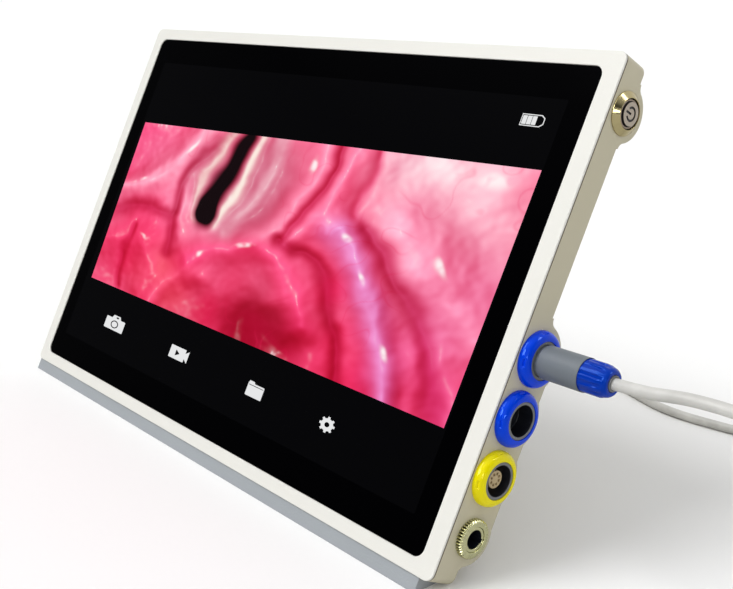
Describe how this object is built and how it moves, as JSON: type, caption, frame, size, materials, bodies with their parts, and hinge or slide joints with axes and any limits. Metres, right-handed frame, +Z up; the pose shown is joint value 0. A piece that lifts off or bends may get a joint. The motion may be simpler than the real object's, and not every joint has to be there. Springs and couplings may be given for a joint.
{
  "type": "portable video laryngoscope monitor",
  "caption": "Leaning tablet monitor with a folding rear stand, round side sockets, a power button and a push-pull cable for a laryngoscope handle.",
  "frame": {"origin": "on the table, at the centre of the standing monitor's outline without its cable", "axes": "+X to the right as the screen is seen (towards the sockets), +Y away from the person who looks at the screen, +Z up; the screen faces -Y and leans back by 27 degrees"},
  "size_m": [0.3932, 0.1908, 0.1508],
  "materials": {
    "front_paint": "fine textured off-white paint, satin",
    "case_paint": "fine textured warm off-white paint, satin",
    "cover_glass": "polished, printed black behind",
    "seal_black": "matte",
    "panel_dark": "satin",
    "bright_steel": "brushed",
    "chassis_alloy": "milled",
    "board_green": "solder mask, satin",
    "part_black": "moulded, matte",
    "brass_plain": "turned",
    "battery_wrap": "sleeve, satin",
    "label_silver": "satin anodised, blank",
    "stand_alloy": "bead blasted and anodised",
    "foot_rubber": "grey, matte",
    "button_metal": "turned and polished",
    "cap_metal": "spun brushed",
    "ring_dark": "smoked, gloss",
    "ring_blue": "gloss",
    "ring_yellow": "gloss",
    "socket_grey": "moulded, satin",
    "insert_black": "moulded, satin",
    "insert_beige": "moulded, satin",
    "contact_gold": "gold plated",
    "nickel_dull": "nickel plated, satin",
    "loom_white": "sleeve",
    "plug_grey": "moulded, satin",
    "nut_blue": "moulded, satin",
    "cable_grey": "silicone jacket, satin",
    "tie_grey": "matte"
  },
  "bodies": {
    "tablet": {"front_bezel": "front_paint", "cover_glass": "cover_glass", "glass_gasket": "seal_black", "display_panel": "panel_dark", "display_pan": "bright_steel", "display_pads": "seal_black", "chassis_plate": "chassis_alloy", "rear_housing": "case_paint", "main_board": "board_green", "board_standoffs": "brass_plain", "board_screws": "bright_steel", "board_chips": "part_black", "shield_can": "bright_steel", "battery_pack": "battery_wrap", "speaker": "part_black", "case_screws": "bright_steel", "mount_inserts": "brass_plain", "label_plate": "label_silver", "hinge_brackets": "bright_steel", "bracket_screws": "bright_steel", "hinge_pins": "bright_steel", "foot_strip": "foot_rubber", "button_housing": "button_metal", "button_light_ring": "ring_dark", "button_nut": "bright_steel", "button_switch": "part_black", "video_ring_1": "ring_blue", "video_socket_1": "socket_grey", "video_insert_1": "insert_black", "video_ring_2": "ring_blue", "video_socket_2": "socket_grey", "video_insert_2": "insert_black", "data_ring": "ring_yellow", "data_socket": "socket_grey", "data_insert": "insert_beige", "socket_seals": "seal_black", "socket_pins": "contact_gold", "power_ring": "nickel_dull", "power_socket": "nickel_dull", "power_contacts": "contact_gold", "socket_looms": "loom_white"},
    "button": {"button_cap": "cap_metal"},
    "stand": {"stand_bail": "stand_alloy", "stand_foot": "foot_rubber"},
    "plug": {"plug_core": "plug_grey", "plug_pins": "contact_gold", "plug_nut": "nut_blue", "plug_collet": "socket_grey", "video_cable": "cable_grey", "cable_coil": "cable_grey", "cable_tie": "tie_grey", "handle_plug": "plug_grey", "handle_plug_boot": "plug_grey", "handle_contacts": "contact_gold"},
    "plug_sleeve": {"plug_shell": "plug_grey"}
  },
  "joints": [
    {"name": "button_press", "type": "slide", "parent": "tablet", "child": "button", "axis": [-1, 0, 0], "range_m": [0, 0.0015], "stiffness_N_per_m": 900},
    {"name": "stand_fold", "type": "hinge", "parent": "tablet", "child": "stand", "pos_m": [-0.0015, 0.02033, 0.08861], "axis": [-1, 0, 0], "range_deg": [0, 48]},
    {"name": "plug_pull", "type": "slide", "parent": "tablet", "child": "plug", "axis": [1, 0, 0], "range_m": [0, 0.012]},
    {"name": "sleeve_slide", "type": "slide", "parent": "plug", "child": "plug_sleeve", "axis": [1, 0, 0], "range_m": [0, 0.0012], "stiffness_N_per_m": 600}
  ]
}
